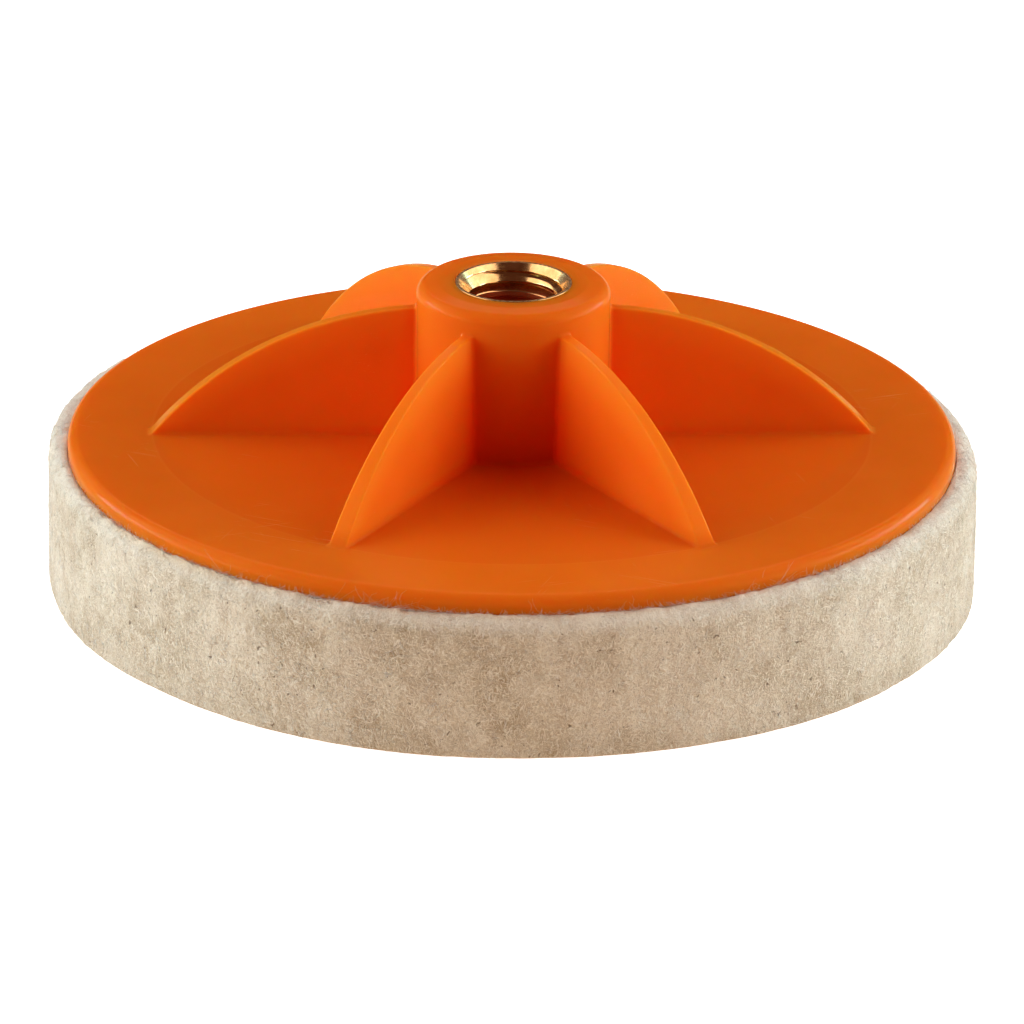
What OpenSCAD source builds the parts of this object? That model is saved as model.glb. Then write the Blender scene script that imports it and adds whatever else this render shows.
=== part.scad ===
// Felt polishing wheel: a pressed-wool felt disc bonded to a ribbed backing plate with a threaded hub.
// The origin is the centre of the felt's working face, and +Z is the spin axis, towards the machine.

/* [Felt pad] */
// Diameter of the felt disc
felt_d = 130; // [110:1:160]
// Thickness of the felt disc
felt_h = 20; // [10:1:30]
// Radius of the worn edges of the felt disc
felt_edge_r = 0.8; // [0.3:0.1:2]

/* [Adhesive] */
// Diameter of the adhesive film
glue_d = 121; // [80:1:124]
// Thickness of the adhesive film
glue_h = 0.2; // [0.1:0.05:0.5]

/* [Backing plate] */
// Diameter of the plate
plate_d = 125; // [122:1:150]
// Thickness of the plate
plate_h = 2.8; // [2:0.1:4]
// Radius of the plate's upper edge
plate_edge_r = 1.6; // [0.5:0.1:1.9]

/* [Hub] */
// Outer diameter of the hub
hub_d = 27.2; // [26:0.2:34]
// Height of the hub above the plate
hub_h = 22.4; // [22:0.2:30]
// Diameter of the flat seat on top of the hub
hub_seat_d = 21; // [19:0.5:22]
// Drop from the seat to the start of the rounded shoulder
hub_seat_drop = 0.2; // [0.1:0.05:0.4]
// Radius of the hub's rounded shoulder
hub_shoulder_r = 1.4; // [0.5:0.1:2]

/* [Ribs] */
// Number of ribs
rib_count = 6; // [3:1:8]
// Height of a rib's crest where it is highest
rib_h = 18.8; // [12:0.2:20]
// Radius of the arc that the crest follows
rib_arc_r = 50.5; // [48:0.5:60]
// Distance from the spin axis to the highest point of the arc
rib_peak_x = 11.5; // [10:0.5:12]
// Thickness of a rib at its crest
rib_top_t = 1.6; // [1.2:0.1:2]
// Thickness of a rib at the plate
rib_base_t = 2.7; // [2.4:0.1:4]

/* [Threaded insert] */
// Nominal diameter of the metric thread
thread_d = 14; // [14:1:14]
// Pitch of the thread
thread_pitch = 2; // [1.5:0.5:2]
// Length of the insert
insert_h = 22; // [18:0.5:22]
// Diameter of the insert's neck, which shows on top of the hub
neck_d = 16.4; // [15.6:0.1:17]
// Length of the neck
neck_h = 2; // [1:0.5:3]
// Diameter over the knurled bands
knurl_d = 18.6; // [17.6:0.2:20]
// Number of knurl teeth
knurl_count = 36; // [24:2:48]
// Depth of the knurl teeth
knurl_depth = 0.4; // [0.2:0.1:0.5]
// Width of the retaining groove between the knurled bands
groove_w = 3; // [2:0.5:5]
// Diameter of the countersink where it opens on the insert's top face
mouth_d = 15.5; // [14.4:0.1:15.6]
// Fall in the countersink's radius per millimetre of depth
mouth_slope = 0.75; // [0.5:0.05:1]

/* [Hidden] */
$fn = 96;
// Overlap that lets two fused solids of one moulding share volume
fuse = 1;
// Length that a cutter runs past the face it opens
past = 1;
plate_z = felt_h + glue_h;
plate_top_z = plate_z + plate_h;
hub_top_z = plate_top_z + hub_h;
insert_z = hub_top_z - insert_h;
// An ISO metric thread's minor diameter is 1.0825 pitches under its nominal diameter
bore_d = thread_d - 1.0825 * thread_pitch;
// Depth at which the countersink reaches the minor diameter
mouth_h = (mouth_d - bore_d) / 2 / mouth_slope;
knurl_h = (insert_h - neck_h - groove_w) / 2;
knurl_root_d = knurl_d - 2 * knurl_depth;
rib_arc_z = rib_h - rib_arc_r;

// A closed outline, turned round the spin axis
module lathe(points) {
    rotate_extrude() polygon(points);
}

// Points along an arc about a centre, from the angle a0 to a1
function arc(cx, cz, r, a0, a1, steps = 8) =
    [for (i = [0:steps]) let (a = a0 + (a1 - a0) * i / steps) [cx + r * cos(a), cz + r * sin(a)]];

// Straight-knurled band: a toothed ring of flat-sided ridges
module knurled_band(h) {
    tooth = 360 / knurl_count;
    linear_extrude(height = h)
        polygon([for (i = [0:knurl_count - 1], k = [0, 1])
            let (a = (i + k / 2) * tooth, r = (k == 0 ? knurl_d : knurl_root_d) / 2)
            [r * cos(a), r * sin(a)]]);
}

// Outside of the insert: two knurled bands either side of a groove, under a plain neck
module insert_envelope() {
    cylinder(h = insert_h, d = neck_d);
    knurled_band(knurl_h);
    translate([0, 0, knurl_h + groove_w]) knurled_band(knurl_h);
}

// Minor-diameter bore with its countersunk mouth
module insert_bore() {
    lathe([[0, -past], [bore_d / 2, -past], [bore_d / 2, insert_h - mouth_h],
           [mouth_d / 2 + past * mouth_slope, insert_h + past], [0, insert_h + past]]);
}

// Flat disc with a rounded upper edge
module plate_disc() {
    edge_x = plate_d / 2 - plate_edge_r;
    lathe(concat(
        [[0, 0], [plate_d / 2, 0]],
        arc(edge_x, plate_h - plate_edge_r, plate_edge_r, 0, 90),
        [[0, plate_h]]));
}

// Round hub with a flat seat, a slight fall and a rounded shoulder
module hub() {
    shoulder_x = hub_d / 2 - hub_shoulder_r;
    shoulder_z = hub_h - hub_seat_drop - hub_shoulder_r;
    lathe(concat(
        [[0, -fuse], [hub_d / 2, -fuse]],
        arc(shoulder_x, shoulder_z, hub_shoulder_r, 0, 90),
        [[hub_seat_d / 2, hub_h], [0, hub_h]]));
}

// One rib along +X: drafted sides, cut off above by the arc of the crest
module rib() {
    // The sides run on down into the plate at the same draft
    draft = (rib_base_t - rib_top_t) / 2 / rib_h;
    foot_half = rib_base_t / 2 + fuse * draft;
    intersection() {
        rotate([90, 0, 90])
            linear_extrude(height = plate_d / 2)
                polygon([[-foot_half, -fuse], [foot_half, -fuse],
                         [rib_top_t / 2, rib_h], [-rib_top_t / 2, rib_h]]);
        translate([rib_peak_x, 0, rib_arc_z])
            rotate([90, 0, 0])
                cylinder(h = 2 * rib_base_t, r = rib_arc_r, center = true, $fn = 180);
    }
}

module felt_pad() {
    x = felt_d / 2 - felt_edge_r;
    color("wheat")
        lathe(concat(
            [[0, 0]],
            arc(x, felt_edge_r, felt_edge_r, -90, 0),
            arc(x, felt_h - felt_edge_r, felt_edge_r, 0, 90),
            [[0, felt_h]]));
}

module adhesive_layer() {
    color("tan")
        translate([0, 0, felt_h]) cylinder(h = glue_h, d = glue_d);
}

module backing_plate() {
    color("darkorange")
        difference() {
            union() {
                translate([0, 0, plate_z]) plate_disc();
                translate([0, 0, plate_top_z]) {
                    hub();
                    for (i = [0:rib_count - 1]) rotate([0, 0, i * 360 / rib_count]) rib();
                }
            }
            translate([0, 0, insert_z]) insert_envelope();
        }
}

module threaded_insert() {
    color("goldenrod")
        translate([0, 0, insert_z])
            difference() {
                insert_envelope();
                insert_bore();
            }
}

felt_pad();
adhesive_layer();
backing_plate();
threaded_insert();
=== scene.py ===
"""Looks of a felt polishing wheel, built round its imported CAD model.

Shapes are worked out in millimetres in the CAD model's own frame, and new_piece() turns them into metres.
"""

import functools
import math

import bmesh
import bpy
import numpy as np
from mathutils import Matrix, Vector


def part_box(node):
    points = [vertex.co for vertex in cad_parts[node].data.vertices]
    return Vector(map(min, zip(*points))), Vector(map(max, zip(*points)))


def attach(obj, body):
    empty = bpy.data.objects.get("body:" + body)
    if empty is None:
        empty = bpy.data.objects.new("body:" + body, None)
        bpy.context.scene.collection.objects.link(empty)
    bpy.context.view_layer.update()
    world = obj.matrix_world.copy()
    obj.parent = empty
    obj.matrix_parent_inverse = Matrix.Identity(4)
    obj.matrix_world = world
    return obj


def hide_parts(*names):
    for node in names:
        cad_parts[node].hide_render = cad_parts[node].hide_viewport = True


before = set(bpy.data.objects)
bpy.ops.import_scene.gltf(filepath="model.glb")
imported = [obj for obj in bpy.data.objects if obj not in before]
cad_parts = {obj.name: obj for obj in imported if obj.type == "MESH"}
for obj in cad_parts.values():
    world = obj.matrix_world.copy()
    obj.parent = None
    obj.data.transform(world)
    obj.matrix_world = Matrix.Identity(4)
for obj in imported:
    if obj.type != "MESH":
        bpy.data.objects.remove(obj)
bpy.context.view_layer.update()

MM = 0.001


def cad_box(node):
    """Lowest and highest corners of a CAD node, in millimetres."""
    low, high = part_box(node)
    return np.array(low) / MM, np.array(high) / MM


# ---------------------------------------------------------------- sizes, in millimetres
_, felt_high = cad_box("felt_pad")
plate_low, plate_high = cad_box("backing_plate")
insert_low, insert_high = cad_box("threaded_insert")

FELT_R = felt_high[0]
FELT_H = felt_high[2]
FELT_EDGE_R = 0.8
PLATE_R = plate_high[0]
PLATE_H = 2.8
PLATE_TOP = plate_low[2] + PLATE_H
PLATE_EDGE_R = 1.6
PLATE_FOOT_R = 0.3

HUB_R = 13.6
HUB_H = plate_high[2] - PLATE_TOP
HUB_SEAT_R = 10.5
HUB_FALL = 0.12
HUB_SHOULDER_R = 1.4
HUB_FILLET = 0.7

RIB_COUNT = 6
RIB_H = 18.8
RIB_ARC_R = 50.5
RIB_PEAK_X = 11.5
RIB_ARC_Z = RIB_H - RIB_ARC_R
RIB_TIP_R = RIB_PEAK_X + math.sqrt(RIB_ARC_R ** 2 - RIB_ARC_Z ** 2)
RIB_TOP_T = 1.6
RIB_BASE_T = 2.7
RIB_DRAFT = (RIB_BASE_T - RIB_TOP_T) / 2 / RIB_H
RIB_EDGE_R = 0.28
RIB_FILLET = 0.5

NECK_R = 8.2
NECK_H = 2.0
KNURL_R = 9.3
KNURL_ROOT_R = 8.9
KNURL_COUNT = 36
INSERT_GROOVE = 3.0
INSERT_LOW = insert_low[2]
INSERT_TOP = insert_high[2]
KNURL_H = (INSERT_TOP - INSERT_LOW - NECK_H - INSERT_GROOVE) / 2
THREAD_R = 7.0
THREAD_PITCH = 2.0
BORE_R = THREAD_R - THREAD_PITCH * 1.0825 / 2
# How far the crests stand back from the exact minor radius, inside the thread's tolerance
CREST_WEAR = 0.19
# The mouth is a countersink, which the thread's first turns cut into
MOUTH_R = 7.75
MOUTH_SLOPE = 0.75
# Radius at the bottom of the thread's grooves, which are sharper than the nominal form
ROOT_R = 7.25
# Height that the thread is moved down by, which sets where its turns show
THREAD_DROP = 0.55
FLANK = math.tan(math.radians(30))


# ---------------------------------------------------------------- meshes
# Edges that bend by more than this stay sharp
CREASE = math.radians(35)


def new_piece(name, verts, faces, normals=None, crease=CREASE):
    """A smooth-shaded piece from points in millimetres. Rows of normals that are zero stay automatic."""
    mesh = bpy.data.meshes.new(name)
    mesh.from_pydata((np.asarray(verts) * MM).tolist(), [], faces)
    mesh.shade_smooth()
    mesh.set_sharp_from_angle(angle=crease)
    if normals is not None:
        corners = np.zeros(len(mesh.loops), np.int32)
        mesh.loops.foreach_get("vertex_index", corners)
        mesh.normals_split_custom_set(np.asarray(normals)[corners].tolist())
    piece = bpy.data.objects.new(name, mesh)
    bpy.context.scene.collection.objects.link(piece)
    return piece


def spaced(start, *stretches):
    """Grid lines from start on, where each stretch is its end and about how far apart its lines are."""
    lines = [np.array([start])]
    for end, step in stretches:
        count = max(1, round((end - start) / step))
        lines.append(np.linspace(start, end, count + 1)[1:])
        start = end
    return np.concatenate(lines)


def arc(centre_r, centre_z, radius, start, end, steps=6):
    """Points (r, z) along an arc, with its angles in degrees."""
    turns = np.radians(np.linspace(start, end, steps + 1))
    return [(centre_r + radius * math.cos(t), centre_z + radius * math.sin(t)) for t in turns]


def ring_points(angles, radius, height):
    """One ring of points, where radius and height are numbers or arrays as long as angles."""
    flat = np.zeros(len(angles))
    return np.stack([radius * np.cos(angles), radius * np.sin(angles), height + flat], axis=1)


def join_rings(first, second):
    """Quads between two closed rings of point numbers."""
    a, b = np.asarray(first), np.asarray(second)
    return np.stack([a, np.roll(a, -1), np.roll(b, -1), b], axis=1).tolist()


def cap_ring(ring, centre):
    """Triangles from a closed ring to its centre point."""
    return [[int(a), int(b), centre] for a, b in zip(ring, np.roll(ring, -1))]


def grid_rings(rings):
    """Points and quads of a stack of rings that all have the same number of points."""
    size = len(rings[0])
    numbers = [np.arange(size) + i * size for i in range(len(rings))]
    faces = []
    for lower, upper in zip(numbers, numbers[1:]):
        faces += join_rings(lower, upper)
    return np.concatenate(rings), faces, numbers


def waves(points, length, count, seed):
    """Smooth seeded noise from -1 to 1 or so, made of random plane waves about length millimetres long."""
    rng = np.random.default_rng(seed)
    way = rng.normal(size=(count, 3))
    way /= np.linalg.norm(way, axis=1, keepdims=True)
    way *= math.tau / (length * rng.uniform(0.7, 1.4, (count, 1)))
    phase = rng.uniform(0, math.tau, count)
    return np.sin(points @ way.T + phase).sum(axis=1) / math.sqrt(count)


# ---------------------------------------------------------------- backing plate
def round_union(a, b, radius):
    """Union of two distance fields, with a fillet of that radius in the corner between them."""
    corner = np.hypot(np.maximum(radius - a, 0), np.maximum(radius - b, 0))
    return np.maximum(radius, np.minimum(a, b)) - corner


def round_intersection(a, b, radius):
    """Intersection of two distance fields, with its edge rounded to that radius."""
    edge = np.hypot(np.maximum(radius + a, 0), np.maximum(radius + b, 0))
    return np.minimum(-radius, np.maximum(a, b)) + edge


def plate_distance(x, y, z):
    """Distance from the moulding's upper skin, negative inside, with z up from the plate's top face."""
    r = np.hypot(x, y)
    disc = round_intersection(r - PLATE_R, z, PLATE_EDGE_R)
    fall = (z - HUB_H + (r - HUB_SEAT_R) * HUB_FALL) / math.hypot(1, HUB_FALL)
    hub = round_intersection(r - HUB_R, np.maximum(z - HUB_H, fall), HUB_SHOULDER_R)
    sector = math.tau / RIB_COUNT
    turn = np.mod(np.arctan2(y, x) + sector / 2, sector) - sector / 2
    along = r * np.cos(turn)
    across = np.abs(r * np.sin(turn))
    side = (across - RIB_TOP_T / 2 - (RIB_H - z) * RIB_DRAFT) / math.hypot(1, RIB_DRAFT)
    crest = np.hypot(along - RIB_PEAK_X, z - RIB_ARC_Z) - RIB_ARC_R
    rib = round_intersection(side, crest, RIB_EDGE_R)
    return round_union(round_union(disc, hub, HUB_FILLET), rib, RIB_FILLET)


def distance_slope(points, step=0.002):
    """Gradient of the moulding's distance field at each point."""
    slope = np.empty_like(points)
    for axis in range(3):
        shift = np.zeros(3)
        shift[axis] = step
        ahead = plate_distance(*(points + shift).T)
        behind = plate_distance(*(points - shift).T)
        slope[:, axis] = (ahead - behind) / (2 * step)
    return slope


def plate_grid():
    """Grid points that are dense where the moulding curves, and follow the sides and crests of its ribs."""
    radii = spaced(8.7, (10.2, 0.75), (10.8, 0.15), (12, 0.3), (14.6, 0.13), (17, 0.4), (47.5, 0.98),
                   (52, 0.18), (60.4, 1.2), (63.1, 0.13))
    beside_rib = 3.0
    fan_lines = 15
    across = spaced(0, (0.45, 0.225), (1.7, 0.125), (beside_rib, 0.26))
    half_sector = math.pi / RIB_COUNT
    near = np.arcsin(across[None, :] / radii[:, None])
    blend = np.linspace(0, 1, fan_lines + 1)[1:]
    fan = near[:, -1:] + (half_sector - near[:, -1:]) * blend[None, :]
    half = np.concatenate([near, fan], axis=1)
    sector = np.concatenate([half, 2 * half_sector - half[:, -2:0:-1]], axis=1)
    turns = np.concatenate([sector + i * 2 * half_sector for i in range(RIB_COUNT)], axis=1)

    lowest_followed = 2.2
    reach = np.clip(radii - RIB_PEAK_X, 0, RIB_ARC_R)
    crest = np.maximum(RIB_ARC_Z + np.sqrt(RIB_ARC_R ** 2 - reach ** 2), lowest_followed)
    foot = spaced(-1.95, (1.25, 0.16))
    about_crest = spaced(-0.9, (0.5, 0.13))
    levels = []
    for height in crest:
        wall = np.linspace(foot[-1], height + about_crest[0], 17)[1:-1]
        above = np.linspace(height + about_crest[-1], HUB_H + 0.5, 19)[1:]
        levels.append(np.concatenate([foot, wall, height + about_crest, above]))
    heights = np.array(levels)

    shape = (len(radii), turns.shape[1], heights.shape[1])
    x = np.broadcast_to((radii[:, None] * np.cos(turns))[:, :, None], shape)
    y = np.broadcast_to((radii[:, None] * np.sin(turns))[:, :, None], shape)
    z = np.broadcast_to(heights[:, None, :], shape)
    return np.stack([x, y, z], axis=-1)


def surface_net(grid, inside, values):
    """Surface between the inside and the outside of a grid that is closed along its second axis.

    Gives the number of the point in each cell, the points, and the quads between them.
    """
    count_i, count_j, count_k = inside.shape
    around = np.concatenate([np.arange(count_j), [0]])
    closed = inside[:, around]
    corners = [(i, j, k) for i in (0, 1) for j in (0, 1) for k in (0, 1)]
    filled = sum(closed[i:count_i - 1 + i, j:count_j + j, k:count_k - 1 + k].astype(np.int8)
                 for i, j, k in corners)
    mixed = (filled > 0) & (filled < len(corners))
    cells = np.argwhere(mixed)
    number = np.full(mixed.shape, -1)
    number[mixed] = np.arange(len(cells))

    def corner_index(corner):
        i, j, k = (cells + corner).T
        return i, j % count_j, k

    total = np.zeros((len(cells), 3))
    crossings = np.zeros(len(cells))
    for a in corners:
        for b in corners:
            if sum(b) - sum(a) != 1 or any(q < p for p, q in zip(a, b)):
                continue
            at_a, at_b = corner_index(a), corner_index(b)
            value_a, value_b = values[at_a], values[at_b]
            crossed = (value_a < 0) != (value_b < 0)
            share = np.where(crossed, value_a / np.where(crossed, value_a - value_b, 1), 0)[:, None]
            total += np.where(crossed[:, None], grid[at_a] * (1 - share) + grid[at_b] * share, 0)
            crossings += crossed
    points = total / crossings[:, None]

    quads = []
    for axis in range(3):
        ahead = np.roll(inside, -1, axis=axis)
        edges = np.argwhere(inside != ahead)
        i, j, k = edges.T
        limit = [count_i - 2, count_j - 1, count_k - 2]
        low = [0 if axis == 0 else 1, 0, 0 if axis == 2 else 1]
        keep = (i >= low[0]) & (i <= limit[0]) & (k >= low[2]) & (k <= limit[2])
        i, j, k = i[keep], j[keep], k[keep]
        first, second = [other for other in range(3) if other != axis]
        loop = []
        for step_1, step_2 in ((-1, -1), (0, -1), (0, 0), (-1, 0)):
            cell = [i.copy(), j.copy(), k.copy()]
            cell[first] += step_1
            cell[second] += step_2
            loop.append(number[cell[0], cell[1] % count_j, cell[2]])
        quads.append(np.stack(loop, axis=1))
    return number, points, np.concatenate(quads)


def backing_plate():
    """The moulding: its upper skin follows the distance field, and rings close its underside and pocket."""
    grid = plate_grid()
    values = plate_distance(grid[..., 0], grid[..., 1], grid[..., 2])
    number, points, quads = surface_net(grid, values < 0, values)
    # Newton steps bring the points on to the skin itself
    newton_steps = 6
    least_steepness = 0.25
    for _ in range(newton_steps):
        slope = distance_slope(points)
        steepness = np.maximum((slope ** 2).sum(axis=1), least_steepness)
        points -= (plate_distance(*points.T) / steepness)[:, None] * slope
    normals = distance_slope(points)
    normals /= np.linalg.norm(normals, axis=1, keepdims=True)

    corner = points[quads]
    facing = np.cross(corner[:, 2] - corner[:, 0], corner[:, 3] - corner[:, 1])
    flipped = (facing * normals[quads[:, 0]]).sum(axis=1) < 0
    quads[flipped] = quads[flipped][:, ::-1]

    seat_ring = number[0].max(axis=1)
    wall_ring = number[:, :, 0].max(axis=0)
    points[:, 2] += PLATE_TOP
    verts = [points]
    faces = quads.tolist()
    count = len(points)

    gap = 0.02
    pocket_r = NECK_R + gap
    knurl_r = KNURL_R + gap
    upper_band = INSERT_TOP - NECK_H
    lower_band = INSERT_LOW + KNURL_H
    pocket = [(pocket_r + 0.12, INSERT_TOP), (pocket_r + 0.03, INSERT_TOP - 0.03),
              (pocket_r, INSERT_TOP - 0.12), (pocket_r, upper_band), (knurl_r, upper_band),
              (knurl_r, upper_band - KNURL_H), (pocket_r, upper_band - KNURL_H),
              (pocket_r, lower_band), (knurl_r, lower_band), (knurl_r, INSERT_LOW),
              (BORE_R, INSERT_LOW), (3, INSERT_LOW)]
    foot_z = plate_low[2]
    underside = [(PLATE_R, foot_z + 0.5)]
    underside += arc(PLATE_R - PLATE_FOOT_R, foot_z + PLATE_FOOT_R, PLATE_FOOT_R, 0, -90, 3)
    underside += [(r, foot_z) for r in (60, 50, 30, 12, 4)]
    for ring, profile, turned in ((seat_ring, pocket, 1), (wall_ring, underside, -1)):
        angles = np.arctan2(points[ring, 1], points[ring, 0])
        for radius, height in profile:
            verts.append(ring_points(angles, radius, height))
            following = np.arange(count, count + len(angles))
            count += len(angles)
            faces += [quad[::turned] for quad in join_rings(ring, following)]
            ring = following
        verts.append(np.array([[0, 0, profile[-1][1]]]))
        faces += [face[::turned] for face in cap_ring(ring, count)]
        count += 1
    verts = np.concatenate(verts)
    all_normals = np.zeros_like(verts)
    all_normals[:len(normals)] = normals
    return new_piece("backing_plate_moulding", verts, faces, all_normals)


# ---------------------------------------------------------------- threaded insert
def thread_radius(height):
    """Radius of the thread's wall, where height is measured along one turn from the middle of a crest."""
    crest_half = THREAD_PITCH / 8 + CREST_WEAR * FLANK
    root_half = THREAD_PITCH / 64
    crest_r = BORE_R + CREST_WEAR
    total = 0
    # The mean of samples a little apart rounds the edges of the crest
    shifts = (-0.06, 0, 0.06)
    for shift in shifts:
        from_crest = np.abs((height + shift + THREAD_PITCH / 2) % THREAD_PITCH - THREAD_PITCH / 2)
        flank = (from_crest - crest_half) / (THREAD_PITCH / 2 - crest_half - root_half)
        total = total + crest_r + (ROOT_R - crest_r) * np.clip(flank, 0, 1)
    return total / len(shifts)


def threaded_insert():
    """Brass insert: a right-hand helical thread inside, knurled bands and a groove outside."""
    columns = KNURL_COUNT * 6
    angles = np.arange(columns) * math.tau / columns
    climb = THREAD_PITCH * angles / math.tau
    rows_per_turn = 24
    turns = math.ceil((INSERT_TOP - INSERT_LOW) / THREAD_PITCH) + 1
    bore = []
    for row in range(-rows_per_turn, turns * rows_per_turn + 1):
        height = INSERT_LOW + row * THREAD_PITCH / rows_per_turn + climb
        height = np.clip(height, INSERT_LOW, INSERT_TOP)
        wall = thread_radius(height - INSERT_LOW - climb + THREAD_DROP)
        lead = MOUTH_R - MOUTH_SLOPE * (INSERT_TOP - height)
        bore.append(ring_points(angles, np.maximum(wall, lead), height))

    def plain(radius, height):
        return ring_points(angles, radius, height)

    tooth = angles * KNURL_COUNT / math.tau % 1
    knurl = KNURL_R - (KNURL_R - KNURL_ROOT_R) * (1 - np.abs(2 * tooth - 1))
    bands = []
    for foot in (INSERT_LOW + KNURL_H + INSERT_GROOVE, INSERT_LOW):
        bands += [plain(NECK_R, foot + KNURL_H), plain(knurl, foot + KNURL_H),
                  plain(knurl, foot), plain(NECK_R, foot)]
    edge = 0.08
    rings = bore + [
        plain(NECK_R - edge, INSERT_TOP),
        plain(NECK_R, INSERT_TOP - edge),
    ] + bands + [bore[0]]
    verts, faces, _ = grid_rings(rings)
    piece = new_piece("threaded_insert_brass", verts, [face[::-1] for face in faces])
    # Rows of the thread that are cut off at the insert's ends fall together there
    together = 0.001 * MM
    bm = bmesh.new()
    bm.from_mesh(piece.data)
    bmesh.ops.remove_doubles(bm, verts=bm.verts, dist=together)
    bmesh.ops.dissolve_degenerate(bm, dist=together, edges=bm.edges)
    bm.to_mesh(piece.data)
    bm.free()
    piece.data.shade_smooth()
    piece.data.set_sharp_from_angle(angle=CREASE)
    return piece


# ---------------------------------------------------------------- felt
# How far the felt is off the spin axis, along X and Y
FELT_SHIFT = np.array([0.15, 0.6])
FELT_SEED = 7
# The worn top rim starts this far below the felt's flat top, and stands this far above it beside the plate
RIM_DROP = 2.4
RIM_RISE = 0.45
# The fuzz on the rim grows from this far above the flat top
FUZZ_RISE = 0.4


def felt_outline(angles):
    """How far the felt's rim stands outside its nominal circle at each angle."""
    # Count round the rim, size and phase of each wave, then middle, width and size of each bulge, in degrees
    lobes = ((2, 0.16, 2.2), (3, 0.12, 0.7), (5, 0.07, 3.9), (8, 0.05, 1.3), (13, 0.04, 5.1))
    bulges = ((152, 22, 1.6), (30, 16, 0.7), (-5, 20, 0.4), (-138, 14, -0.7))
    uneven = sum(size * np.cos(count * angles + phase) for count, size, phase in lobes)
    for middle, width, size in bulges:
        away = (np.degrees(angles) - middle + 180) % 360 - 180
        uneven = uneven + size * np.exp(-(away / width) ** 2)
    return uneven


def beyond_plate(radius):
    """0 under the plate and up to its edge, rising to 1 at the felt's outer edge."""
    return np.clip((radius - PLATE_R - 0.1) / 1.5, 0, 1)


def felt_surface(angles, profile):
    """Rings of the felt's surface along a profile of (r, z), with an uneven edge a little off centre."""
    rings = []
    for radius, height in profile:
        share = beyond_plate(radius)
        ring = ring_points(angles, radius + felt_outline(angles) * share, height)
        ring[:, :2] += FELT_SHIFT * share
        rings.append(ring)
    return rings


def felt_profile():
    """Half section of the felt disc, from the middle of its working face round to the middle of its top."""
    low_r = FELT_EDGE_R / 2
    low = arc(FELT_R - low_r, low_r, low_r, -90, 0, 5)
    inner_r = PLATE_R + 0.25
    rim_foot = FELT_H - RIM_DROP
    rim = [(inner_r + (FELT_R - inner_r) * math.cos(turn), rim_foot + (RIM_DROP + RIM_RISE) * math.sin(turn))
           for turn in np.linspace(0, math.pi / 2, 15)]
    beside_plate = [(PLATE_R + 0.12, FELT_H + RIM_RISE), (PLATE_R + 0.04, FELT_H + RIM_RISE / 2),
                    (PLATE_R - 0.1, FELT_H)]
    working_face = [(r, 0) for r in (2, 15, 30, 45, 55, 60, 62, 63.3)]
    side = [(FELT_R, z) for z in np.linspace(low_r, rim_foot, 38)[1:-1]]
    top = [(r, FELT_H) for r in (61.7, 60, 50, 30, 15, 2)]
    return working_face + low + side + rim + beside_plate + top


def felt_pad():
    """Pressed-wool disc with an uneven outline, a lumpy surface and a rim that swells round the plate."""
    columns = 880
    angles = np.arange(columns) * math.tau / columns
    verts, faces, numbers = grid_rings(felt_surface(angles, felt_profile()))
    lumps = 0.04 * waves(verts, 6, 40, FELT_SEED) + 0.03 * waves(verts, 2.2, 60, FELT_SEED + 1)
    lumps += 0.025 * waves(verts, 1.3, 80, FELT_SEED + 2)
    radius = np.hypot(verts[:, 0], verts[:, 1])
    outward = np.stack([verts[:, 0] / radius, verts[:, 1] / radius, np.zeros(len(verts))], axis=1)
    verts = verts + outward * (lumps * beyond_plate(radius))[:, None]
    # On top of the rim the same lumps reach up, most of all beside the plate
    swell = np.interp(radius - PLATE_R, (0, 0.05, 0.5, 1.4), (0, 2.4, 2.4, 1.3))
    verts[:, 2] += lumps * swell * np.clip(verts[:, 2] - FELT_H + 2, 0, 1)
    bottom_centre, top_centre = len(verts), len(verts) + 1
    verts = np.concatenate([verts, [[0, 0, 0], [0, 0, FELT_H]]])
    faces += [face[::-1] for face in cap_ring(numbers[0], bottom_centre)]
    faces += cap_ring(numbers[-1], top_centre)
    return new_piece("felt_pad_wool", verts, faces)


def fibre_tubes(name, points, radii):
    """Thin closed tubes with three sides, one along each row of points, tapering to both ends."""
    count, steps, _ = points.shape
    along = np.gradient(points, axis=1)
    along /= np.linalg.norm(along, axis=2, keepdims=True)
    helper = np.where(np.abs(along[..., 2:]) > 0.8, [1.0, 0, 0], [0, 0, 1.0])
    across = np.cross(along, helper)
    across /= np.linalg.norm(across, axis=2, keepdims=True)
    third = np.cross(along, across)
    tip_share = 0.45
    taper = np.linspace(1, tip_share, steps)[None, :, None]
    sides = 3
    rings = []
    for side in range(sides):
        turn = math.tau * side / sides
        reach = radii[:, None, None] * taper
        rings.append(points + reach * (across * math.cos(turn) + third * math.sin(turn)))
    body = np.stack(rings, axis=2).reshape(count, steps * sides, 3)
    ends = points[:, [0, -1]] + along[:, [0, -1]] * radii[:, None, None] * np.array([-1, 1])[None, :, None]
    verts = np.concatenate([body, ends], axis=1)
    per_fibre = verts.shape[1]
    quads = []
    caps = []
    for step in range(steps - 1):
        for side in range(sides):
            a = step * sides + side
            b = step * sides + (side + 1) % sides
            quads.append([a, b, b + sides, a + sides])
    last = (steps - 1) * sides
    for side in range(sides):
        caps.append([(side + 1) % sides, side, steps * sides])
        caps.append([last + side, last + (side + 1) % sides, steps * sides + 1])
    start = (np.arange(count) * per_fibre)[:, None, None]
    faces = (np.array(quads)[None] + start).reshape(-1, 4).tolist()
    faces += (np.array(caps)[None] + start).reshape(-1, 3).tolist()
    return new_piece(name, verts.reshape(-1, 3), faces, crease=math.pi)


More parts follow.
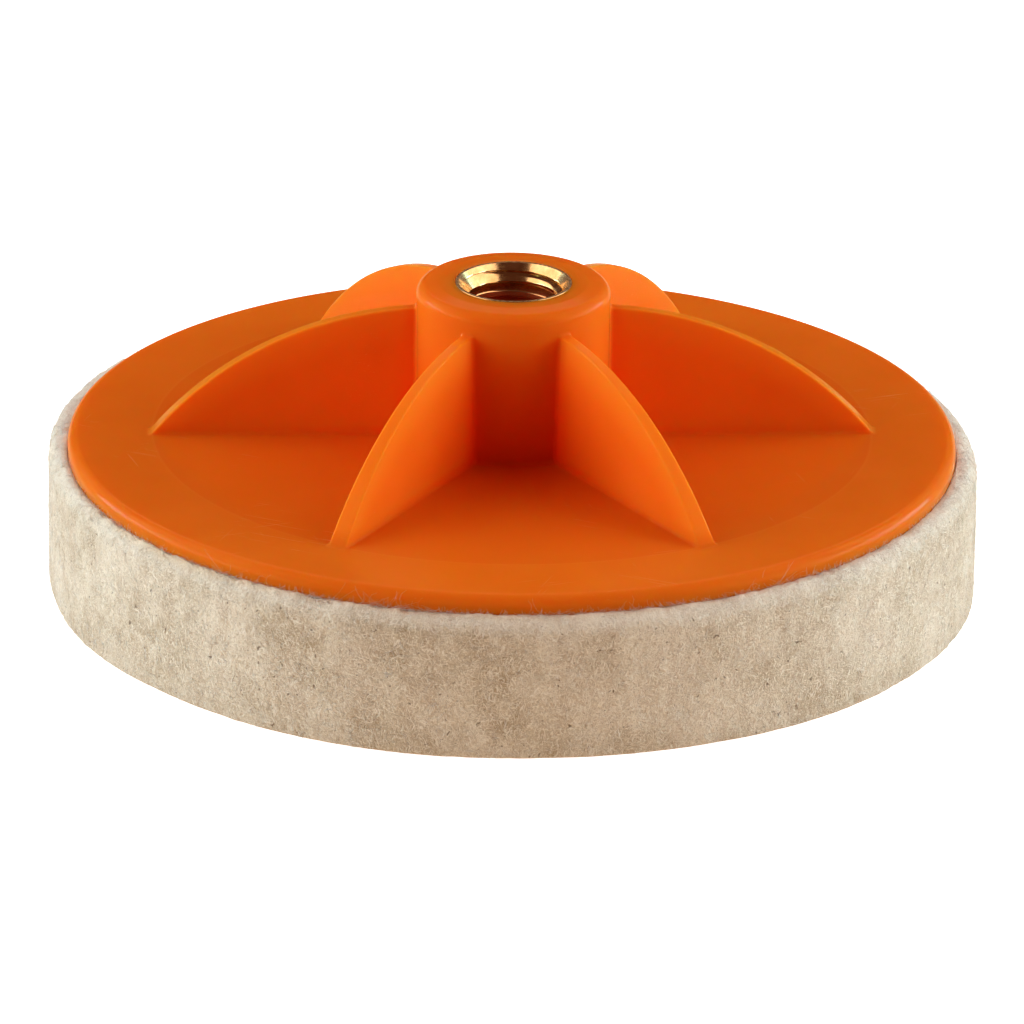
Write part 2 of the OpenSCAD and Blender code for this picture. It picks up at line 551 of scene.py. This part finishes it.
def fibre_curves(rng, roots, outward, heading, length, bend, steps=5):
    """Arcs that leave their roots along heading and curl by about bend, in radians."""
    share = np.linspace(0, 1, steps)[None, :, None]
    side = np.cross(heading, outward)
    side /= np.maximum(np.linalg.norm(side, axis=1, keepdims=True), 1e-6)
    side += outward * rng.uniform(-0.5, 0.2, len(roots))[:, None]
    curl = rng.normal(size=(len(roots), 1, 1)) * bend
    least_curl = 0.05
    curl = np.where(np.abs(curl) < least_curl, least_curl, curl)
    path = heading[:, None, :] * np.sin(curl * share) / curl
    path = path + side[:, None, :] * (1 - np.cos(curl * share)) / curl
    return roots[:, None, :] + path * length[:, None, None]


def outward_at(turns):
    """Unit vectors out from the spin axis."""
    return np.stack([np.cos(turns), np.sin(turns), np.zeros(len(turns))], axis=1)


def felt_side_fibres():
    """Loose wool fibres that lie along the felt's side and stand a little out of it."""
    rng = np.random.default_rng(FELT_SEED + 10)
    count = 6400
    turns = rng.uniform(0, math.tau, count)
    out = outward_at(turns)
    roots = out * (FELT_R + felt_outline(turns) - 0.02)[:, None]
    roots[:, :2] += FELT_SHIFT
    roots[:, 2] = rng.uniform(0.3, FELT_H - 2.0, count)
    heading = rng.normal(size=(count, 3))
    heading -= out * (heading * out).sum(axis=1)[:, None]
    heading /= np.linalg.norm(heading, axis=1, keepdims=True)
    heading += out * rng.uniform(0.0, 0.12, count)[:, None]
    points = fibre_curves(rng, roots, out, heading, rng.uniform(0.7, 2.2, count), 1.3)
    return fibre_tubes("felt_side_fibres", points, rng.uniform(0.022, 0.042, count))


def felt_rim_fibres():
    """Fuzz on the felt's round top rim."""
    rng = np.random.default_rng(FELT_SEED + 20)
    count = 6200
    turns = rng.uniform(0, math.tau, count)
    across = rng.uniform(0, 1, count) ** 1.3
    radius = PLATE_R + 0.1 + (FELT_R - PLATE_R - 0.15) * across
    share = beyond_plate(radius)
    out = outward_at(turns)
    tangent = np.stack([-out[:, 1], out[:, 0], np.zeros(count)], axis=1)
    roots = out * (radius + felt_outline(turns) * share)[:, None]
    roots[:, :2] += FELT_SHIFT * share[:, None]
    rim_top = np.sqrt(np.clip(1 - across ** 2, 0, 1))
    roots[:, 2] = FELT_H - RIM_DROP + (RIM_DROP + FUZZ_RISE) * rim_top
    outward = out * across[:, None] + np.array([0, 0, 1]) * rim_top[:, None]
    slope = np.cross(outward, tangent)
    heading = tangent * rng.normal(size=(count, 1)) + slope * rng.normal(size=(count, 1)) * 0.6
    heading /= np.linalg.norm(heading, axis=1, keepdims=True)
    heading += outward * rng.uniform(0.1, 0.6, count)[:, None]
    inward = np.minimum((heading * out).sum(axis=1), 0) * (1 - share)
    heading -= out * inward[:, None]
    points = fibre_curves(rng, roots, outward, heading, rng.uniform(0.4, 1.5, count), 1.3)
    return fibre_tubes("felt_rim_fibres", points, rng.uniform(0.02, 0.036, count))


def felt_strays():
    """Fuzz that creeps up the plate's edge all round, and longer hairs that curl out of a few tufts."""
    rng = np.random.default_rng(FELT_SEED + 30)
    paths, radii = [], []
    tufts = rng.uniform(0, math.tau, 36)
    # Whether in tufts, count, climb of the heading, length, bend and radius
    fuzz = (False, 2600, (0.1, 0.7), (0.4, 1.3), 1.6, (0.014, 0.026))
    hairs = (True, 420, (0.2, 0.9), (1.0, 3.4), 1.9, (0.010, 0.018))
    for in_tufts, count, rise, length, bend, thickness in (fuzz, hairs):
        turns = rng.uniform(0, math.tau, count)
        if in_tufts:
            turns = tufts[rng.integers(0, len(tufts), count)] + rng.normal(0, 0.06, count)
        out = outward_at(turns)
        roots = out * (PLATE_R + rng.uniform(0.06, 0.4, count))[:, None]
        roots[:, 2] = FELT_H + FUZZ_RISE
        tangent = np.stack([-out[:, 1], out[:, 0], np.zeros(count)], axis=1)
        heading = tangent * rng.choice([-1, 1], count)[:, None]
        heading[:, 2] = rng.uniform(*rise, count)
        heading += out * rng.uniform(0, 0.12, count)[:, None]
        paths.append(fibre_curves(rng, roots, out, heading, rng.uniform(*length, count), bend))
        radii.append(rng.uniform(*thickness, count))
    return fibre_tubes("felt_strays", np.concatenate(paths), np.concatenate(radii))


# ---------------------------------------------------------------- materials
# Sockets of a mix node that is set to colours
MIX_A, MIX_B, MIX_RESULT = 6, 7, 2


class Shader:
    """Short names for building one material's nodes."""

    def __init__(self, name):
        self.material = bpy.data.materials.new(name)
        self.material.use_nodes = True
        self.tree = self.material.node_tree
        self.surface = self.tree.nodes["Principled BSDF"]
        self.place = self.node("ShaderNodeTexCoord").outputs["Object"]

    def node(self, kind, settings=None, **inputs):
        """A new node with its settings and inputs, where _ in an input's name stands for a space."""
        made = self.tree.nodes.new(kind)
        for key, value in (settings or {}).items():
            setattr(made, key, value)
        for key, value in inputs.items():
            self.put(made.inputs[key.replace("_", " ")], value)
        return made

    def put(self, socket, value):
        """Links another node's output to a socket, or sets a plain value on it."""
        if isinstance(value, bpy.types.NodeSocket):
            self.tree.links.new(value, socket)
        else:
            socket.default_value = value

    def set(self, **values):
        """Puts values on the surface shader's own inputs."""
        for key, value in values.items():
            self.put(self.surface.inputs[key.replace("_", " ")], value)

    def drawn(self, turn=(0, 0, 0), stretch=(1, 1, 1)):
        """The place, turned and then drawn out, so that a noise put there is stretch times as long."""
        made = self.node("ShaderNodeMapping", {"vector_type": "TEXTURE"}, Vector=self.place, Rotation=turn,
                         Scale=stretch)
        return made.outputs["Vector"]

    def warp(self, size_mm, amount_mm):
        """Bends the place by a smooth noise, so that straight streaks come out curled."""
        noise = self.node("ShaderNodeTexNoise", Vector=self.place, Scale=1 / (size_mm * MM), Detail=1.0)
        centred = self.node("ShaderNodeVectorMath", {"operation": "SUBTRACT"})
        self.put(centred.inputs[0], noise.outputs["Color"])
        self.put(centred.inputs[1], (0.5, 0.5, 0.5))
        moved = self.node("ShaderNodeVectorMath", {"operation": "MULTIPLY_ADD"})
        self.put(moved.inputs[0], centred.outputs[0])
        self.put(moved.inputs[1], (amount_mm * MM,) * 3)
        self.put(moved.inputs[2], self.place)
        self.place = moved.outputs[0]

    def greatest(self, values):
        return functools.reduce(lambda a, b: self.math("MAXIMUM", a, b), values)

    def noise(self, size_mm, detail=2.0, roughness=0.5, vector=None):
        """Noise from 0 to 1 whose spots are about size_mm across."""
        made = self.node("ShaderNodeTexNoise", Vector=vector or self.place, Scale=1 / (size_mm * MM),
                         Detail=detail, Roughness=roughness)
        return made.outputs["Fac"]

    def remap(self, value, low, high, to_low=0.0, to_high=1.0):
        """The value moved from low..high to to_low..to_high, and kept between them."""
        made = self.node("ShaderNodeMapRange", Value=value, From_Min=low, From_Max=high,
                         To_Min=to_low, To_Max=to_high)
        return made.outputs["Result"]

    def math(self, operation, a, b=0.0):
        made = self.node("ShaderNodeMath", {"operation": operation})
        self.put(made.inputs[0], a)
        self.put(made.inputs[1], b)
        return made.outputs[0]

    def mix(self, share, a, b):
        """a where share is 0 and b where it is 1, both colours."""
        made = self.node("ShaderNodeMix", {"data_type": "RGBA"})
        self.put(made.inputs[0], share)
        for socket, value in ((MIX_A, a), (MIX_B, b)):
            self.put(made.inputs[socket], value if isinstance(value, bpy.types.NodeSocket) else (*value, 1.0))
        return made.outputs[MIX_RESULT]

    def bump(self, height, strength, depth_mm, below=None):
        """Normals that follow a height from 0 to 1, on top of the bump below if there is one."""
        made = self.node("ShaderNodeBump", Height=height, Strength=strength, Distance=depth_mm * MM)
        if below is not None:
            self.put(made.inputs["Normal"], below)
        return made.outputs["Normal"]


def streaks(shader, turn, length_mm, width_mm):
    """Fine noise drawn out along one direction, like short straight fibres or scratches."""
    return shader.noise(width_mm, 1.0, 0.5, shader.drawn(turn, (1, length_mm / width_mm, 1)))


def any_turns(count, seed):
    """Directions spread at random, as turns of the axis that streaks lie along."""
    return np.random.default_rng(seed).uniform(0, math.pi, (count, 3)).tolist()


def place_in_mm(shader):
    """Distance from the spin axis and height, in millimetres."""
    spot = shader.node("ShaderNodeSeparateXYZ", Vector=shader.place)
    flat = shader.node("ShaderNodeCombineXYZ", X=spot.outputs["X"], Y=spot.outputs["Y"])
    radius = shader.node("ShaderNodeVectorMath", {"operation": "LENGTH"})
    shader.put(radius.inputs[0], flat.outputs[0])
    return tuple(shader.math("DIVIDE", metres, MM) for metres in (radius.outputs["Value"], spot.outputs["Z"]))


def hub_foot_painted_shade(s):
    """Share of the painted shade, a deeper red, at the foot of the hub and on the plate round it."""
    hub_share, plate_share = 0.64, 0.5
    radius, height = place_in_mm(s)
    near = s.remap(radius, 17, 14)
    low = s.remap(height, PLATE_TOP + 21, PLATE_TOP + 4)
    painted_shade_on_hub = s.math("MULTIPLY", s.math("MULTIPLY", near, low), hub_share)
    round_it = s.remap(radius, 48, 16)
    painted_shade_on_plate = s.math("MULTIPLY", round_it, s.remap(height, PLATE_TOP + 1.5, PLATE_TOP + 0.3))
    return s.math("MAXIMUM", painted_shade_on_hub, s.math("MULTIPLY", painted_shade_on_plate, plate_share))


def rib_crest_painted_glow(s):
    """Share of the painted glow, a lighter colour near the ribs' thin crests, standing for the light that
    comes through them.
    """
    radius, height = place_in_mm(s)
    from_peak = s.math("SUBTRACT", radius, RIB_PEAK_X)
    fall = s.math("SUBTRACT", RIB_ARC_R ** 2, s.math("MULTIPLY", from_peak, from_peak))
    crest = s.math("ADD", s.math("SQRT", fall), PLATE_TOP + RIB_ARC_Z)
    near = s.remap(s.math("SUBTRACT", crest, height), 6, 0)
    clear = s.math("MULTIPLY", s.remap(height, PLATE_TOP + 0.3, PLATE_TOP + 2),
                   s.remap(radius, HUB_R + 0.2, HUB_R + 2))
    steepness, greatest_share = 1.5, 0.85
    glow = s.math("POWER", s.math("MULTIPLY", near, clear), steepness)
    return s.math("MULTIPLY", glow, greatest_share)


def tip_circle_shade_and_highlight(s):
    """The faint circle on the plate through the ribs' tips: painted shade inside it, as of a shallow sink,
    and a painted highlight on its edge.
    """
    radius, height = place_in_mm(s)
    low = s.remap(height, PLATE_TOP + 0.3, PLATE_TOP + 0.1)
    inside = s.math("MULTIPLY", low, s.remap(radius, RIB_TIP_R, RIB_TIP_R - 0.6))
    outside = s.math("MULTIPLY", low, s.remap(radius, RIB_TIP_R - 0.5, RIB_TIP_R + 0.4))
    # The two overlap at the edge, where their product is 1/4 at most
    return inside, s.math("MULTIPLY", s.math("MULTIPLY", inside, outside), 4)


def orange_plastic():
    """Glossy moulded plastic that lets a little light through, with faint waviness and fine scratches, and
    with painted light and shade laid over its colour.
    """
    s = Shader("orange_plastic")
    tone = s.remap(s.noise(14, 3), 0.3, 0.7)
    colour = s.mix(tone, (0.81, 0.155, 0.008), (0.85, 0.167, 0.010))
    inside, edge = tip_circle_shade_and_highlight(s)
    painted_light_and_shade = (
        # Painted shade inside the tip circle, as of a shallow sink
        (s.math("MULTIPLY", inside, 0.4), (0.80, 0.120, 0.006)),
        # Painted highlight along the tip circle's edge
        (s.math("MULTIPLY", edge, 0.2), (0.95, 0.30, 0.05)),
        # Painted glow: lighter orange near the ribs' crests
        (rib_crest_painted_glow(s), (0.88, 0.225, 0.014)),
        # Painted shade: deep red at the hub's foot and on the plate round it
        (hub_foot_painted_shade(s), (0.97, 0.085, 0.005)),
    )
    for share, tint in painted_light_and_shade:
        colour = s.mix(share, colour, tint)
    # Each way that scratches run, and how high the noise has to be for one to show
    ways = ((1.1, 0.72), (-1.25, 0.73), (0.3, 0.75), (-0.4, 0.75))
    marks = [s.remap(streaks(s, (0, 0, turn), 12, 0.14), threshold, threshold + 0.05)
             for turn, threshold in ways]
    patches = s.remap(s.noise(24, 2), 0.52, 0.66)
    scratched = s.math("MULTIPLY", s.greatest(marks), patches)
    haze = s.remap(s.noise(5, 4, 0.6), 0.3, 0.7, 0.08, 0.13)
    wavy = s.bump(s.noise(5, 2), 0.02, 0.1)
    s.set(Base_Color=s.mix(s.math("MULTIPLY", scratched, 0.25), colour, (0.95, 0.45, 0.15)),
          Roughness=s.math("ADD", haze, s.math("MULTIPLY", scratched, 0.3)),
          Normal=s.bump(scratched, 0.25, 0.02, wavy))
    s.set(IOR=1.49, Specular_IOR_Level=0.085, Specular_Tint=(1.0, 0.4, 0.08, 1.0),
          Subsurface_Weight=0.8, Subsurface_Scale=0.006, Subsurface_Radius=(1.0, 0.3, 0.07))
    return s.material


def brass():
    """Turned brass: bright machined walls, a painted red reflection deep down for the orange light reflected
    in the bore, and a dull mottled face round the mouth.
    """
    s = Shader("brass")
    height = s.node("ShaderNodeSeparateXYZ", Vector=s.place).outputs["Z"]
    face_z = (INSERT_TOP - 0.02) * MM
    face = s.remap(height, face_z, face_z + 0.01 * MM)
    # Painted reflection: deep in the bore the brass turns red and less metallic, for the orange light
    # reflected there
    depth = s.remap(height, (INSERT_TOP - 3.2) * MM, (INSERT_TOP - 6) * MM)
    tarnish = s.remap(s.noise(1.6, 4, 0.6), 0.35, 0.7)
    bright = s.mix(tarnish, (0.90, 0.66, 0.31), (0.66, 0.42, 0.16))
    # The painted red reflection deep in the bore
    bright = s.mix(depth, bright, (0.75, 0.12, 0.05))
    dull = s.mix(s.remap(s.noise(0.35, 2), 0.4, 0.6), (0.36, 0.19, 0.08), (0.78, 0.50, 0.25))
    marks = s.noise(0.09, 1, 0.5, s.drawn(stretch=(50, 50, 1)))
    grain = s.noise(0.25, 3, 0.6)
    s.set(Base_Color=s.mix(face, bright, dull), Metallic=s.remap(depth, 0, 1, 1.0, 0.45),
          Roughness=s.math("ADD", s.remap(grain, 0.3, 0.7, 0.12, 0.22), s.math("MULTIPLY", face, 0.3)),
          Normal=s.bump(marks, 0.3, 0.01, s.bump(grain, 0.1, 0.01)))
    return s.material


def wool(name, paleness=0.0, through=0.1, sheen=0.2, tint=(1.0, 0.92, 0.77)):
    """Pressed wool: pale fibres over tan ones, in speckles, curled streaks, upright bands and patches, with
    painted light on the top rim, painted shade towards the foot and painted orange bounce light and shade
    beside the plate.
    """
    s = Shader(name)
    radius, height = place_in_mm(s)
    # Painted light: the top rim is paler, where it would catch more light
    rim = s.remap(height, FELT_H - 1.9, FELT_H - 0.2)
    # Painted shade: the felt darkens towards its foot, by the floor
    foot = s.remap(height, 5, 0)
    patch = s.remap(s.noise(11, 2), 0.38, 0.62)
    cloud = s.remap(s.noise(3.2, 3, 0.6), 0.36, 0.64)
    column = s.remap(s.noise(2.6, 2, 0.5, s.drawn(stretch=(1, 1, 9))), 0.38, 0.66)
    s.warp(2.2, 1.6)
    fine = s.remap(s.noise(0.5, 3, 0.65), 0.34, 0.66)
    pale = s.greatest([streaks(s, turn, 2.8, 0.17) for turn in any_turns(4, 3)])
    dark = s.greatest([streaks(s, turn, 1.6, 0.26) for turn in any_turns(4, 4)])
    specks = s.remap(s.noise(0.7, 1), 0.72, 0.77, 0, 0.8)
    # Painted orange bounce light and painted shade on the rim beside the plate
    beside_plate = s.remap(radius, PLATE_R + 1.0, PLATE_R + 0.2, 0, 0.4)
    base = s.mix(patch, (0.49, 0.39, 0.255), (0.80, 0.715, 0.58))
    layers = (
        (s.math("MULTIPLY", cloud, 0.55), (0.90, 0.84, 0.69)),
        (s.math("MULTIPLY", column, 0.38), (0.46, 0.335, 0.22)),
        (s.math("MULTIPLY", fine, 0.27), (0.42, 0.31, 0.205)),
        (s.remap(dark, 0.58, 0.74, 0, 0.42), (0.26, 0.19, 0.12)),
        (s.remap(pale, 0.56, 0.72, 0, 0.78), (1.0, 0.95, 0.83)),
        (specks, (0.14, 0.09, 0.05)),
        # Painted shade near the foot
        (s.math("MULTIPLY", foot, 0.22), (0.40, 0.31, 0.20)),
        # Painted light on the top rim, and over a whole material where paleness is set
        (s.math("MAXIMUM", s.math("MULTIPLY", rim, 0.42), paleness), tint),
        # Painted bounce light and shade beside the plate
        (s.math("MULTIPLY", rim, beside_plate), (0.80, 0.55, 0.30)),
    )
    for share, colour in layers:
        base = s.mix(share, base, colour)
    relief = s.math("ADD", s.math("MULTIPLY", fine, -0.6), s.math("SUBTRACT", pale, dark))
    s.set(Base_Color=base, Roughness=s.remap(fine, 0, 1, 0.88, 1.0), Normal=s.bump(relief, 0.46, 0.25))
    s.set(Specular_IOR_Level=0.1, Sheen_Weight=sheen, Sheen_Roughness=0.5,
          Subsurface_Weight=through, Subsurface_Scale=0.0006, Subsurface_Radius=(1.0, 0.85, 0.65))
    return s.material


def glue():
    """Cured contact adhesive: amber, patchy and slightly glossy."""
    s = Shader("contact_adhesive")
    patch = s.remap(s.noise(4, 4, 0.6), 0.3, 0.7)
    s.set(Base_Color=s.mix(patch, (0.42, 0.29, 0.13), (0.58, 0.44, 0.24)),
          Roughness=s.remap(patch, 0, 1, 0.35, 0.6), Normal=s.bump(s.noise(1.2, 3), 0.3, 0.1))
    return s.material


def pale_floor():
    """Matt and pale, and glowing enough that the camera sees plain white."""
    s = Shader("pale_floor")
    tone = s.remap(s.noise(60, 2), 0.3, 0.7)
    s.set(Base_Color=s.mix(tone, (0.84, 0.86, 0.88), (0.85, 0.87, 0.89)), Roughness=0.9,
          Specular_IOR_Level=0.0, Emission_Color=(1.0, 1.0, 1.0, 1.0), Emission_Strength=1.0)
    return s.material


# ---------------------------------------------------------------- light and camera
LAMP_DISTANCE = 0.9


def aim(thing, place, target, roll=0.0):
    """Puts a light or camera at place, in metres, looking at target."""
    way = Vector(target) - Vector(place)
    turn = way.to_track_quat("-Z", "Y").to_matrix().to_4x4()
    thing.matrix_world = Matrix.Translation(place) @ turn @ Matrix.Rotation(roll, 4, "Z")


def softbox(name, azimuth, elevation, size, power, tint=(1, 1, 1)):
    """A soft area light aimed at the wheel, with its angles in degrees and its size in metres."""
    lamp = bpy.data.lights.new(name, "AREA")
    lamp.shape = "RECTANGLE"
    lamp.size, lamp.size_y = size
    lamp.energy = power
    lamp.color = tint
    thing = bpy.data.objects.new(name, lamp)
    bpy.context.scene.collection.objects.link(thing)
    turn, rise = math.radians(azimuth), math.radians(elevation)
    way = Vector((math.cos(turn) * math.cos(rise), math.sin(turn) * math.cos(rise), math.sin(rise)))
    centre = Vector((0, 0, PLATE_TOP * MM))
    aim(thing, centre + way * LAMP_DISTANCE, centre)


def surroundings():
    """Dim brown above the horizon and a warm bounce below it, as from a table top."""
    world = bpy.data.worlds.new("studio")
    world.use_nodes = True
    tree = world.node_tree
    place = tree.nodes.new("ShaderNodeTexCoord")
    parts = tree.nodes.new("ShaderNodeSeparateXYZ")
    share = tree.nodes.new("ShaderNodeMapRange")
    share.inputs["From Min"].default_value = -0.05
    share.inputs["From Max"].default_value = 0.05
    mix = tree.nodes.new("ShaderNodeMix")
    mix.data_type = "RGBA"
    mix.inputs[MIX_A].default_value = (0.93, 0.58, 0.33, 1.0)
    mix.inputs[MIX_B].default_value = (0.08, 0.025, 0.015, 1.0)
    tree.links.new(place.outputs["Generated"], parts.inputs[0])
    tree.links.new(parts.outputs["Z"], share.inputs["Value"])
    tree.links.new(share.outputs["Result"], mix.inputs[0])
    tree.links.new(mix.outputs[MIX_RESULT], tree.nodes["Background"].inputs["Color"])
    bpy.context.scene.world = world


def staged(name, corners, faces):
    """A part of the pale stage, which only the camera sees, so that it throws no light on the wheel."""
    mesh = bpy.data.meshes.new(name)
    mesh.from_pydata(corners, [], faces)
    mesh.materials.append(pale_floor())
    thing = bpy.data.objects.new(name, mesh)
    bpy.context.scene.collection.objects.link(thing)
    thing.visible_diffuse = False
    thing.visible_glossy = False
    return thing


def studio():
    """Soft boxes low and high at both sides, over a pale floor with low walls far away."""
    surroundings()
    small = (0.6, 0.5)
    for side, azimuth, to_front in (("left", 180, 1), ("right", 0, -1)):
        softbox(side + "_low", azimuth, 12, (1.3, 0.3), 7.0, (0.375, 0.82, 1.0))
        softbox(side + "_high", azimuth, 35, (1.1, 0.8), 5.5, (1.0, 0.74, 0.66))
        softbox(side + "_front", azimuth + 20 * to_front, 20, small, 0.9, (1.0, 0.86, 0.64))
        softbox(side + "_back", azimuth - 40 * to_front, 20, small, 0.2)
    softbox("back", 90, 45, small, 0.4)
    half = 5.0
    wall_top = 1.0
    below = -0.05 * MM
    foot = [(-half, -half, below), (half, -half, below), (half, half, below), (-half, half, below)]
    head = [(x, y, wall_top) for x, y, _ in foot]
    floor = staged("floor", foot, [(0, 1, 2, 3)])
    walls = staged("walls", foot + head, [(0, 1, 5, 4), (1, 2, 6, 5), (2, 3, 7, 6), (3, 0, 4, 7)])
    walls.visible_shadow = False


def camera():
    """A long lens a little above the wheel, turned slightly off the line between two ribs."""
    azimuth, elevation, roll = math.radians(-92.1), math.radians(21.19), math.radians(0.676)
    distance = 1.542
    # Where it looks, to the right of the middle of the plate's top and below it
    rightward, downward = 0.155 * MM, 11.44 * MM
    pivot = Vector((0, 0, PLATE_TOP * MM))
    way = Vector((math.cos(azimuth) * math.cos(elevation), math.sin(azimuth) * math.cos(elevation),
                  math.sin(elevation)))
    place = pivot + way * distance
    right = way.cross(Vector((0, 0, -1))).normalized()
    up = right.cross(-way)
    lens = bpy.data.cameras.new("camera")
    lens.sensor_width = 36
    lens.lens = 385.3
    lens.clip_end = 20
    thing = bpy.data.objects.new("camera", lens)
    bpy.context.scene.collection.objects.link(thing)
    aim(thing, place, pivot + right * rightward - up * downward, roll)
    bpy.context.scene.camera = thing


def finish_piece(piece, material, slot, *nodes):
    """Gives a piece its material, puts it under the root body and hides the CAD nodes that it stands for. The
    slot is not used.
    """
    piece.data.materials.append(material)
    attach(piece, "root")
    if nodes:
        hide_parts(*nodes)


camera()
studio()
felt = felt_pad()
finish_piece(felt, wool("wool_felt"), "felt", "felt_pad")
# Paler copy of the wool: the fibres' paleness is partly the wool's own and partly painted light
fibre_wool = wool("wool_fibre", paleness=0.75, through=0.8, sheen=1.0)
finish_piece(felt_side_fibres(), fibre_wool, "felt")
finish_piece(felt_rim_fibres(), fibre_wool, "felt")
# The strays' orange tint is partly the wool's cream and partly painted orange light bounced from the plate
stray_wool = wool("wool_stray", paleness=0.85, through=0.8, sheen=0.1, tint=(1.0, 0.72, 0.38))
finish_piece(felt_strays(), stray_wool, "felt")
finish_piece(backing_plate(), orange_plastic(), "orange_plastic", "backing_plate")
finish_piece(threaded_insert(), brass(), "brass", "threaded_insert")
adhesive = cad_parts["adhesive_layer"]
adhesive.data.materials.clear()
adhesive.data.materials.append(glue())

bpy.context.scene.view_settings.view_transform = "Standard"
